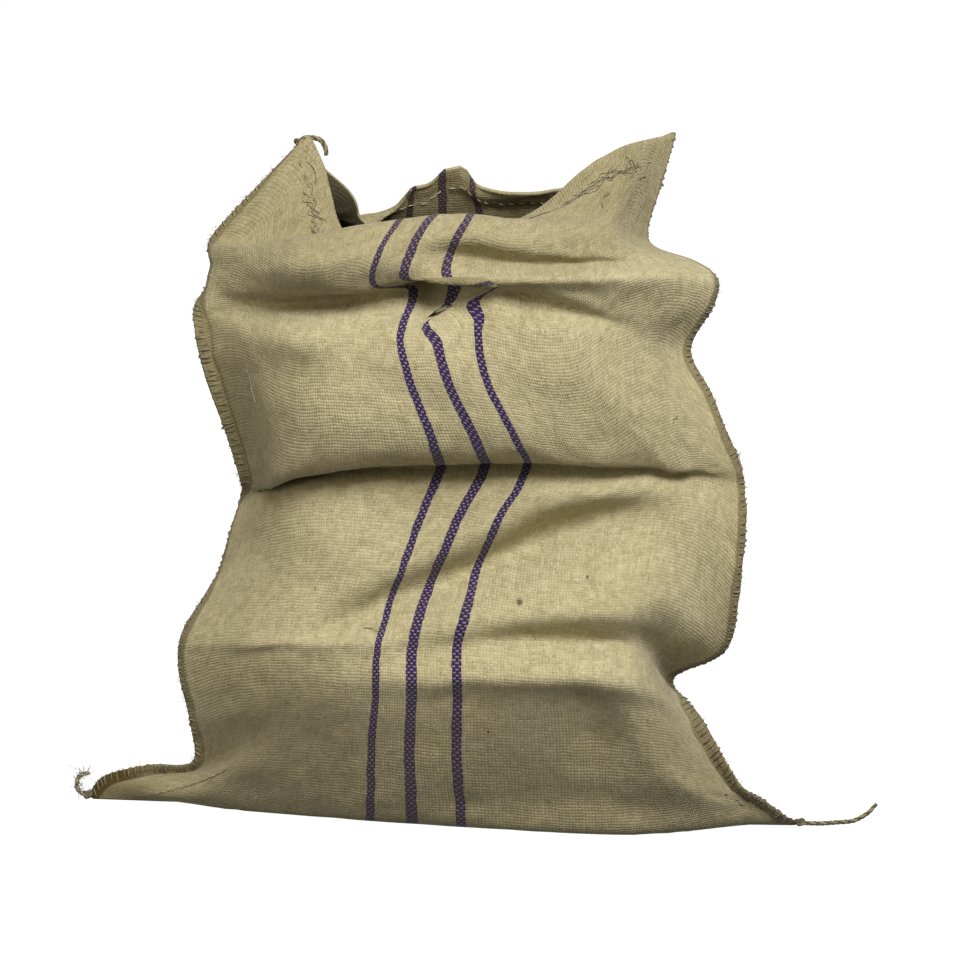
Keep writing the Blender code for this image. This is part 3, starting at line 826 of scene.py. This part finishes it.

# %% [markdown]
# ## The woven finish
#
# The cloth is a plain weave of loose jute threads, about four to the
# centimetre: every thread goes over one and under the next, with small gaps
# between them.  Thread heights are worked out first.  A thread is a dome
# across and rises and dips along; where its height is the larger, it is on
# top.  Height gives bump and dark gaps, and the thread on top gives colour.
# Three stripes are warp threads dyed purple, so pale weft shows between them.
#
# Then come the marks the cloth has, dark flecks and a few spots, and then
# painted shade: low down, near the mouth, on the seam lips, on the left ear
# and inside.  The inner skins have ten added to u, which tells the finish that
# a place is inside.

# %% Threads of the weave
WARP_PITCH = 0.0025         # metres between threads that run up the sack
WEFT_PITCH = 0.0028         # metres between threads that run across it
WANDER = 1.1                # threads by which a thread strays from its line
WANDER_SCALE = 70.0         # bends of a straying thread, in a metre
STREAK_SCALE = 75           # thick and thin places of a thread, in a metre
THREAD_SEED = 7.31          # sets neighbouring threads apart in the noise
INSIDE_SHIFT = 10.0         # added to u on the inner skins, to tell them apart


def thread_height(finish, off, width, sign, other_off):
    """Dome across a thread times its rise over and dip under the others."""
    across_share = off / width
    dome = finish.larger(1 - across_share * across_share, 0.0)
    return dome * (sign * finish.cosine(other_off * math.pi) * 0.42 + 0.58)


def weave(finish, place, u, v):
    """The number of the warp thread, the heights of warp and weft, and the top streak."""
    wander = finish.noise(place, WANDER_SCALE, 2.0) - 0.5
    drift = finish.noise(finish.vector(v, u, 0.37), WANDER_SCALE, 2.0) - 0.5
    warp_at = u * (1 / WARP_PITCH) + wander * WANDER
    weft_at = v * (1 / WEFT_PITCH) + drift * WANDER
    warp, weft = finish.floor(warp_at), finish.floor(weft_at)
    warp_off, weft_off = warp_at - warp - 0.5, weft_at - weft - 0.5
    over = finish.fraction((warp + weft) * 0.5) * 4 - 1
    warp_streak = finish.noise(finish.vector(warp * THREAD_SEED, v * STREAK_SCALE, 0), 1.0, 2.0)
    weft_streak = finish.noise(finish.vector(u * STREAK_SCALE, weft * THREAD_SEED, 9), 1.0, 2.0)
    warp_width, weft_width = warp_streak * 0.5 + 0.28, weft_streak * 0.5 + 0.28
    warp_height = thread_height(finish, warp_off, warp_width, over, weft_off)
    weft_height = thread_height(finish, weft_off, weft_width, over * -1, warp_off)
    warp_on_top = warp_height > weft_height
    streak = warp_streak * warp_on_top + weft_streak * (1 - warp_on_top)
    return warp_at, warp_height, weft_height, streak


# %% Dark marks on the cloth
GAP_BROWN = (0.110, 0.088, 0.036, 1.0)
SPOT_BROWN = (0.050, 0.036, 0.014, 1.0)
FLECK_LONG, FLECK_SHORT = 190, 620      # flecks in a metre, along and across


def with_flecks(finish, colour, u, v):
    """Dark fibres, upright and lying: the peaks of noise stretched each way."""
    upright = finish.noise(finish.vector(u * FLECK_SHORT, v * FLECK_LONG, 4), 1.0, 1.0)
    lying = finish.noise(finish.vector(u * FLECK_LONG, v * FLECK_SHORT, 2), 1.0, 1.0)
    flecks = finish.larger(finish.smooth(upright, 0.69, 0.77), finish.smooth(lying, 0.70, 0.78))
    return finish.blend(flecks * 0.6, colour, GAP_BROWN)


def with_spots(finish, colour, u, v, fibres, spots):
    """Brown where (u / a)^2 + (v / b)^2, roughened by the fibres, is below about 1."""
    for spot_u, spot_v, half_u, half_v in spots:
        off = (u - spot_u) * (1 / half_u), (v - spot_v) * (1 / half_v)
        far = finish.smooth(off[0] * off[0] + off[1] * off[1] + fibres * 1.6, 0.7, 1.7)
        colour = finish.blend((1 - far) * 0.92, colour, SPOT_BROWN)
    return colour


# %% Painted shade
# Painted shade: the brown that the cloth goes to low on the sack, near the mouth, on the seam lips, on the
# left ear and inside
PAINTED_SHADE_BROWN = (0.075, 0.050, 0.002, 1.0)
# Painted deep shade: the dark brown of the inside's left corner
PAINTED_DEEP_SHADE = (0.022, 0.018, 0.006, 1.0)
WIDE_HALF = 0.3             # metres from a seam to the middle of the cloth
LOW_PAINTED_SHADE = (0.11, 0.205)    # metres up from the bottom fold, where it fades
MOUTH_PAINTED_SHADE = (0.60, 0.69)   # the same near the mouth, where it grows
SEAM_PAINTED_SHADE = (0.0015, 0.006)     # metres in from a seam
EAR_PAINTED_SHADE = (0.025, 0.055), (0.03, 0.07)     # metres across and up, at the left ear
INSIDE_SHADE = 0.5          # how much darker the inside is
CORNER_EDGE = (0.20, 0.25)  # metres across, where its left corner ends
CORNER_SHADE = 0.8          # how far that corner goes to the brown of deep shade


def with_painted_shade(finish, colour, u, v, inside):
    """Painted shade low on the sack, near its mouth, inside, on the lips and on the left ear; painted deep
    shade in the inside's left corner.
    """
    up = finish.math("ABSOLUTE", v)
    off_seam = WIDE_HALF - finish.math("ABSOLUTE", u - WIDE_HALF)
    # painted shade low on the sack and near its mouth
    painted_shade_low_and_mouth = (1 - finish.smooth(up, *LOW_PAINTED_SHADE)) * 0.24 + finish.smooth(up, *MOUTH_PAINTED_SHADE) * 0.26
    # painted shade on the seam lips and the stitch line beside them
    painted_seam_shade = (1 - finish.smooth(off_seam, *SEAM_PAINTED_SHADE)) * 0.60
    # painted shade on the left ear
    ear = (1 - finish.smooth(u, *EAR_PAINTED_SHADE[0])) * (1 - finish.smooth(up, *EAR_PAINTED_SHADE[1])) * 0.55
    shade = finish.larger(finish.larger(painted_shade_low_and_mouth, inside * INSIDE_SHADE), painted_seam_shade + ear)
    # painted deep shade in the inside's left corner
    deep = inside * (1 - finish.smooth(u, *CORNER_EDGE)) * CORNER_SHADE
    return finish.blend(deep, finish.blend(shade, colour, PAINTED_SHADE_BROWN), PAINTED_DEEP_SHADE)


# %% Finish of the cloth
STRAW_DARK = (0.290, 0.245, 0.115, 1.0)
STRAW_LIGHT = (0.590, 0.525, 0.315, 1.0)
PURPLE_DARK = (0.012, 0.002, 0.038, 1.0)
PURPLE_LIGHT = (0.034, 0.006, 0.104, 1.0)
STRIPES = ((94.6, 97.7), (108.4, 112.3), (123.8, 126.8))   # edges, in warp threads
FIBRE_SCALE = 900           # fibres in a metre
PATCH_SCALE, MOTTLE_SCALE, BROKEN_SCALE = 110.0, 9.0, 170.0    # waves in a metre
WEAVE_DEPTH = 0.0007        # metres that a thread seems to stand out


def jute_cloth_finish(spots):
    """Straw or purple threads by tone, dark in the gaps, then flecks, spots and painted shade."""
    finish = Finish("jute_cloth", roughness=0.88, sheen=0.1)
    place, (u, v, _) = finish.flat_place()
    inside = u > INSIDE_SHIFT / 2
    u = u - inside * INSIDE_SHIFT
    warp_at, warp_height, weft_height, streak = weave(finish, place, u, v)
    height = finish.larger(warp_height, weft_height)
    fibres = finish.noise(finish.vector(u * FIBRE_SCALE, v * FIBRE_SCALE, 0), 1.0, 2.0)
    mottle = finish.noise(place, MOTTLE_SCALE, 2.0)
    patch = finish.noise(place, PATCH_SCALE, 2.0)
    tone = finish.smooth(streak * 0.55 + fibres * 0.4 + mottle * 0.2 + patch * 0.3, 0.42, 1.03)
    straw = finish.blend(tone, STRAW_DARK, STRAW_LIGHT)
    purple = finish.blend(tone, PURPLE_DARK, PURPLE_LIGHT)
    stripe = sum((warp_at > first) * (warp_at < last) for first, last in STRIPES)
    weft_shows = finish.smooth(weft_height - warp_height, 0.42, 0.62)
    colour = finish.blend(stripe * (1 - weft_shows * 0.5), straw, purple)
    gap = 1 - finish.smooth(height, 0.06, 0.42)
    broken = finish.smooth(finish.noise(finish.vector(u, v, 0.7), BROKEN_SCALE, 2.0), 0.38, 0.62)
    colour = finish.blend(gap * (broken * 0.5 + 0.22), colour, GAP_BROWN)
    colour = with_flecks(finish, colour, u, v)
    colour = with_spots(finish, colour, u, v, fibres, spots)
    finish.colour(with_painted_shade(finish, colour, u, v, inside))
    finish.bump(height + fibres * 0.25 + patch * 0.5, WEAVE_DEPTH, 0.9)
    return finish.material


# %% Spots and the cloth itself
# Slubs and one small hole on the front
SPOTS = (
    # across  row    half width  half height, in millimetres
    (0.584,   6.42,  3.4,        5.4),
    (0.670,   6.90,  1.6,        3.0),
    (0.395,   7.95,  1.4,        2.4),
    (0.245,   6.85,  1.2,        2.2),
    (0.790,   14.50, 1.2,        2.8),
    (0.300,   10.90, 1.2,        2.4),
    (0.560,   3.30,  1.3,        2.2),
)


def flat_spots():
    """The spots' places and half sizes on the UV map, in metres."""
    placed = []
    for place_across, place_row, half_u, half_v in SPOTS:
        up = [np.interp(place_row, rows, column) for column in front_height.T]
        spot_v = np.interp(place_across, across, up)
        spot = np.array([place_across * CLOTH_WIDTH, spot_v, half_u, half_v]) * MILLIMETRE
        placed.append(spot.tolist())
    return placed


cloth = make_piece("jute_sack_cloth", cloth_points, cloth_faces,
                   jute_cloth_finish(flat_spots()), cloth_uv)
uv_layer = cloth.data.uv_layers[0].data
corner_uv = np.empty((len(uv_layer), 2), dtype=np.float32)
uv_layer.foreach_get("uv", corner_uv.ravel())
corner_uv[4 * inner_start:4 * inner_end, 0] += INSIDE_SHIFT     # four corners a face
uv_layer.foreach_set("uv", corner_uv.ravel())
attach(cloth, "root")
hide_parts("sack_cloth")

# %% [markdown]
# ## The overcast seams
#
# A thick twine is wound round both raw edges all the way up each side, a turn
# every few millimetres.  It is one long helix round the lip: an oval loop in
# the plane of the lip's section, moving along the seam as it turns.  Each turn
# pulls a little differently, so the radius varies from turn to turn.

# %% Wind the seam twine
SEAM_PITCH = 5.6            # millimetres of seam for one turn of twine
SEAM_TWINE = 1.5            # its thickness
POINTS_PER_TURN = 12
THIN_SIDES = 6              # sides of the twine of seams and stitches
SLIP = 0.22                 # turns by which a turn may slip along the seam
UNEVEN = (0.8, 0.4)         # millimetres that a turn varies, in width and thickness


def seam_grid(line, at):
    """Rows of a (rows, 3) line read at fractional row numbers."""
    low = np.clip(np.floor(at).astype(int), 0, len(line) - 2)
    part = (at - low)[:, None]
    return line[low] * (1 - part) + line[low + 1] * part


def overcast(name, station):
    """Helix: centre of the lip + a cos t inward + b sin t frontward."""
    edge, lip_way, frontward = seams[station]
    length = along_line(edge)
    turns = int(length[-1] / SEAM_PITCH)
    phase = np.linspace(0, turns, turns * POINTS_PER_TURN + 1)
    slip = through_each(SLIP * rng.normal(size=turns + 1), phase)
    along = np.clip(phase + slip, 0, turns) / turns * length[-1]
    at = np.interp(along, length, np.arange(len(edge)))
    shift = through_each(rng.normal(size=(turns + 1, 2)) * UNEVEN, phase)
    opening = np.clip(np.interp(at, np.arange(len(rows)), rows) * 1.5, 0.25, 1)
    half_wide = np.linalg.norm(seam_grid(lip_way, at), axis=1) / 2 - 0.3 + shift[:, 0]
    half_thick = SEAM_ROOT_HALF * opening + 0.1 + shift[:, 1]
    angle = 2 * np.pi * phase
    line = (seam_grid(edge, at) + seam_grid(lip_way, at) * 0.5
            + unit(seam_grid(lip_way, at)) * (half_wide * np.cos(angle))[:, None]
            + seam_grid(frontward, at) * (half_thick * np.sin(angle))[:, None])
    line[:, 2] = np.maximum(line[:, 2], SEAM_TWINE / 2)
    radius = SEAM_TWINE / 2 * (1 + 0.12 * np.sin(angle * 0.37 + np.floor(phase)))
    reference = unit(np.gradient(seam_grid(edge, at), axis=0))
    print(f"{turns} turns over {length[-1]:.0f} mm")
    return twine_piece(name, line[None], radius[None], THIN_SIDES, reference[None], seam_twine)


left_overcast = overcast("seam_overcast_left", LEFT_SEAM)
right_overcast = overcast("seam_overcast_right", RIGHT_SEAM)

# %% [markdown]
# ## Hem stitches
#
# The hem is held by a running stitch near its lower edge.  It is seen outside
# on the front and inside on the back.  Each stitch is a short twine that dips
# into the cloth at both ends, and some have worn away.

# %% Sew the hem
STITCH_PITCH = 10.0
STITCH_LENGTH = 6.0
STITCH_TWINE = 1.1
STITCH_STEPS = 7
STITCH_STRAY = 1.6          # millimetres by which a stitch may start off its place
WORN_SHARE = 0.2            # share of the stitches that have worn away
SEAM_CLEAR = 12.0           # millimetres of hem without stitches at each seam
STITCH_INSET = 3.0          # how far above the hem's edge they run


def sample(grid, row, column):
    """Points of a (rows, columns, 3) grid at fractional rows and columns."""
    r = np.clip(np.floor(row).astype(int), 0, grid.shape[0] - 2)
    c = np.clip(np.floor(column).astype(int), 0, grid.shape[1] - 2)
    a, b = (row - r)[..., None], (column - c)[..., None]
    return ((grid[r, c] * (1 - b) + grid[r, c + 1] * b) * (1 - a)
            + (grid[r + 1, c] * (1 - b) + grid[r + 1, c + 1] * b) * a)


def hem_line(skin):
    """Row numbers, one for each column, that lie a hem's width below the mouth."""
    from_mouth = along_line(skin[::-1])
    depth = HEM_WIDTH - STITCH_INSET
    below = np.argmax(from_mouth > depth, axis=0)
    columns = np.arange(skin.shape[1])
    high, low = from_mouth[below - 1, columns], from_mouth[below, columns]
    return skin.shape[0] - 1 - (below - 1 + (depth - high) / (low - high))


def hem_stitches(name, skin):
    """Running stitches along the hem line, each an arch: lift = a sin(pi t) - b."""
    row_of_column = hem_line(skin)
    columns = np.arange(len(across))
    line = sample(skin, row_of_column, columns.astype(float))
    length = along_line(line)
    starts = np.arange(SEAM_CLEAR, length[-1] - SEAM_CLEAR, STITCH_PITCH)
    strayed = starts + rng.normal(size=len(starts)) * STITCH_STRAY
    starts = strayed[rng.random(len(starts)) > WORN_SHARE]
    steps = np.linspace(0, 1, STITCH_STEPS)
    stretch = 1 + 0.12 * rng.normal(size=(len(starts), 1))
    at = starts[:, None] + steps[None, :] * STITCH_LENGTH * stretch
    column = np.interp(at, length, columns)
    row = np.interp(column, columns, row_of_column)
    spot = sample(skin, row, column)
    forward = -unit(sample(backward_normals(skin), row, column))
    lift = STITCH_TWINE * (0.9 * np.sin(np.pi * steps) - 0.35)
    lines = spot + forward * lift[None, :, None]
    radii = np.full(lines.shape[:2], STITCH_TWINE / 2)
    return twine_piece(name, lines, radii, THIN_SIDES, forward, pale_thread)


hem_front = hem_stitches("hem_stitches_front", front)
hem_back = hem_stitches("hem_stitches_back", inner_back)

# %% [markdown]
# ## Stray threads and hairs
#
# Jute sheds.  Short hairs stand off both seams, broken threads lie along the
# hem where it was turned over, a few loose ones curl on the front, and the
# seam twine is knotted where its free ends leave the corners.  All are thin
# tubes along short lines: a start, a way and a bend, or a path on the cloth.

# %% Hairs on the seams
HAIRS_A_SIDE = 520
HAIR_STEPS = 5


def bent_hairs(start, way, bend, length):
    """Lines start + L (way t + bend t^2), with t from 0 to 1."""
    t = np.linspace(0, 1, HAIR_STEPS)[None, :, None]
    return start[:, None] + length[:, :, None] * (way[:, None] * t + bend[:, None] * t**2)


def seam_hairs(station):
    """Hairs that start anywhere on a lip and stand outwards, more or less."""
    edge, lip_way, frontward = seams[station]
    at = rng.uniform(0.5, len(edge) - 1.5, HAIRS_A_SIDE)
    out = -unit(seam_grid(lip_way, at))
    front_way = seam_grid(frontward, at)
    along = unit(seam_grid(np.gradient(edge, axis=0), at))
    start = (seam_grid(edge, at) - out * rng.uniform(-0.4, 4.0, (HAIRS_A_SIDE, 1))
             + front_way * rng.uniform(-1.8, 1.8, (HAIRS_A_SIDE, 1)))
    way = unit(out + along * rng.normal(size=(HAIRS_A_SIDE, 1)) * 1.2
               + front_way * rng.normal(size=(HAIRS_A_SIDE, 1)) * 0.6)
    bend = rng.normal(size=(HAIRS_A_SIDE, 3)) * 0.5
    return bent_hairs(start, way, bend, rng.uniform(1.5, 5.0, (HAIRS_A_SIDE, 1)))


def thread_piece(name, lines, thickness, finish, sides=3, taper=0.6):
    """One piece of many thin tubes, which stay above the floor."""
    lines[..., 2] = np.maximum(lines[..., 2], thickness / 2)
    thin = 1 - taper * np.linspace(0, 1, lines.shape[1])**2
    radii = np.broadcast_to(thickness / 2 * thin, lines.shape[:2])
    reference = unit(rng.normal(size=(len(lines), 1, 3)))
    return twine_piece(name, lines, radii, sides, reference, finish)


hair_lines = np.concatenate([seam_hairs(LEFT_SEAM), seam_hairs(RIGHT_SEAM)])
seam_fuzz = thread_piece("seam_hairs", hair_lines, 0.45, seam_twine, taper=0.7)

# %% Broken threads along the hem
FRINGE_STEPS = 14
FRINGE_REACH = (0.015, 0.05)    # shares across that a thread runs along the hem
FRINGE_SWAY = 0.10              # fold lines by which it sways
FRINGE_LIFT = 0.35              # millimetres off the cloth at its ends; twice that midway
RIGHT_FLAP, LEFT_FLAP = (0.58, 0.86), (0.06, 0.20)      # shares across with a frayed hem


def on_front(place_across, place_row, lift):
    """Points a little above the front, at shares across and fold line numbers."""
    column = np.interp(place_across, across, np.arange(len(across)))
    row = np.interp(place_row, rows, np.arange(len(rows)))
    normal = unit(sample(backward_normals(front), row, column))
    return sample(front, row, column) - normal * lift[..., None]


def hem_fringe(count, flap, spread):
    """Threads that start on a flap's hem line and run along it, with a sine's sway."""
    row_of_column = np.interp(hem_line(front), np.arange(len(rows)), rows)
    t = np.linspace(0, 1, FRINGE_STEPS)[None, :]
    reach = rng.uniform(*FRINGE_REACH, (count, 1)) * rng.choice((-1, 1), (count, 1))
    place_across = rng.uniform(*flap, (count, 1)) + reach * t
    depth = rng.normal(size=(count, 1))
    sway = depth * np.sin(t * rng.uniform(2, 7, (count, 1)) + rng.uniform(0, 6, (count, 1)))
    off_line = rng.normal(size=(count, 1)) * spread + sway * FRINGE_SWAY
    place_row = np.interp(place_across, across, row_of_column) + off_line
    lift = FRINGE_LIFT * (1 + np.sin(np.pi * t))
    return on_front(place_across, np.minimum(place_row, last_row - 0.02), lift)


pale_lines = np.concatenate([hem_fringe(34, RIGHT_FLAP, 0.10), hem_fringe(8, LEFT_FLAP, 0.10)])
dark_lines = np.concatenate([hem_fringe(12, RIGHT_FLAP, 0.10), hem_fringe(7, LEFT_FLAP, 0.08)])
pale_fringe = thread_piece("hem_fringe_pale", pale_lines, 0.8, pale_thread)
dark_fringe = thread_piece("hem_fringe_dark", dark_lines, 0.7, dark_thread)

# %% Loose threads on the front
LOOSE_THREADS = (
    # thread            from across, row   to across, row   loop, mm  turns
    ("flap curl",       0.745, 19.75,      0.765, 19.10,    4.0,      0.9),
    ("lobe squiggle",   0.855, 12.30,      0.880, 12.50,    1.6,      1.0),
    ("left curl",       0.155, 15.70,      0.175, 15.50,    3.2,      1.2),
    ("ear thread",      0.135, 2.40,       0.070, 0.90,     1.0,      0.5),
    ("low loop",        0.955, 2.60,       0.965, 2.35,     2.6,      0.9),
    ("lower loop",      0.965, 2.20,       0.975, 1.95,     2.4,      0.9),
    ("belly hair",      0.365, 5.90,       0.410, 5.70,     1.2,      0.5),
    ("crease thread",   0.090, 13.10,      0.110, 12.40,    1.4,      0.6),
)


def loose_threads():
    """Straight on the cloth from end to end, plus a loop that grows and fades."""
    table = np.array([thread[1:] for thread in LOOSE_THREADS])[:, :, None]
    t = np.linspace(0, 1, FRINGE_STEPS * 2)[None, :]
    place_across = table[:, 0] * (1 - t) + table[:, 2] * t
    place_row = table[:, 1] * (1 - t) + table[:, 3] * t
    swing = table[:, 4] * np.sin(np.pi * t)
    loop = 2 * np.pi * table[:, 5] * t
    line = on_front(place_across, place_row, 0.6 + 0.7 * np.sin(np.pi * t))
    line[..., 0] += swing * np.cos(loop)
    line[..., 2] += swing * np.sin(loop)
    return line


loose = thread_piece("loose_threads", loose_threads(), 0.9, pale_thread, sides=5, taper=0.4)

# %% A frayed tuft at the left ear
TUFT_HAIRS = 90


def tuft():
    """Hairs that stand all ways off the outer part of the pale twine."""
    route = TWINE_ENDS["twine_end_left_ear"][-1]
    start = through_each(route, rng.uniform(1.5, len(route) - 1, TUFT_HAIRS))
    way = unit(rng.normal(size=(TUFT_HAIRS, 3)))
    bend = rng.normal(size=(TUFT_HAIRS, 3)) * 0.7
    return bent_hairs(start, way, bend, rng.uniform(2.5, 7.0, (TUFT_HAIRS, 1)))


ear_tuft = thread_piece("ear_tuft", tuft(), 0.6, pale_thread)

# %% Knots at the corners
KNOT_SIZE = 1.25            # millimetres for one unit of the knot's curve
KNOT_TWINE = 3.2
KNOT_STEPS = 37


def corner_knots():
    """Trefoils (sin t + 2 sin 2t, -1.3 sin 3t, cos t - 2 cos 2t), one a free twine."""
    t = np.linspace(0, 2 * np.pi, KNOT_STEPS)[None, :]
    curve = np.stack([np.sin(t) + 2 * np.sin(2 * t), -1.3 * np.sin(3 * t),
                      np.cos(t) - 2 * np.cos(2 * t)], axis=-1)
    starts = np.array([route[0] for *_, route in TWINE_ENDS.values()], float)
    return starts[:, None] + curve * KNOT_SIZE


knots = thread_piece("corner_knots", corner_knots(), KNOT_TWINE, seam_twine, sides=8, taper=0.0)

# %% [markdown]
# ## Floor and light
#
# A pale floor that runs out of sight, a big soft light above and to the right
# of the camera, a weaker one from the left, one behind the sack for its back,
# and a warm surround that is brighter above than below.

# %% Floor, lights and surround
FLOOR_HALF = 40.0
FLOOR_GREY = (0.12, 0.12, 0.12, 1.0)
floor_corners = [(x * FLOOR_HALF, y * FLOOR_HALF, 0.0)
                 for x, y in ((-1, -1), (1, -1), (1, 1), (-1, 1))]
floor_mesh = bpy.data.meshes.new("floor")
floor_mesh.from_pydata(floor_corners, [], [(0, 1, 2, 3)])
floor_paint = Finish("floor_paint", roughness=0.9)
floor_paint.colour(FLOOR_GREY)
floor_paint.surface.inputs["Emission Color"].default_value = (1.0, 1.0, 1.0, 1.0)
floor_paint.surface.inputs["Emission Strength"].default_value = 1.0
floor_mesh.materials.append(floor_paint.material)
floor = bpy.data.objects.new("floor", floor_mesh)
floor.visible_diffuse = False
bpy.context.scene.collection.objects.link(floor)

LIGHTS_AIM = (0.0, 0.0, 0.3)
LIGHTS = (
    # name   position           size watts  colour
    ("key",  (0.7, -2.1, 2.5),  1.3, 107.0, (1.00, 1.00, 1.04)),
    ("fill", (-1.8, -2.6, 1.0), 1.8, 16.0,  (1.00, 0.93, 0.76)),
    ("back", (0.2, 3.2, 0.8),   2.0, 60.0,  (1.00, 0.97, 0.92)),
)
for light_name, place, size, watts, colour in LIGHTS:
    light_data = bpy.data.lights.new(light_name, "AREA")
    light_data.shape = "SQUARE"
    light_data.size = size
    light_data.energy = watts
    light_data.color = colour
    light = bpy.data.objects.new(light_name, light_data)
    aim = np.array(LIGHTS_AIM) - place
    light.location = place
    light.rotation_euler = (math.atan2(math.hypot(aim[0], aim[1]), -aim[2]), 0,
                            math.atan2(aim[1], aim[0]) - math.pi / 2)
    bpy.context.scene.collection.objects.link(light)

SKY_COLOUR = (1.0, 0.92, 0.72, 1.0)
SKY_RISE = {"From Min": -0.2, "From Max": 0.6, "To Min": 0.04, "To Max": 0.40}  # height to light
surround = bpy.data.worlds.new("surround")
surround.use_nodes = True
sky = surround.node_tree
direction = sky.nodes.new("ShaderNodeTexCoord")
upward = sky.nodes.new("ShaderNodeSeparateXYZ")
brightness = sky.nodes.new("ShaderNodeMapRange")
for key, value in SKY_RISE.items():
    brightness.inputs[key].default_value = value
sky.links.new(direction.outputs["Generated"], upward.inputs["Vector"])
sky.links.new(upward.outputs["Z"], brightness.inputs["Value"])
sky.links.new(brightness.outputs["Result"], sky.nodes["Background"].inputs["Strength"])
sky.nodes["Background"].inputs["Color"].default_value = SKY_COLOUR
bpy.context.scene.world = surround
print("lights:", [light[0] for light in LIGHTS])
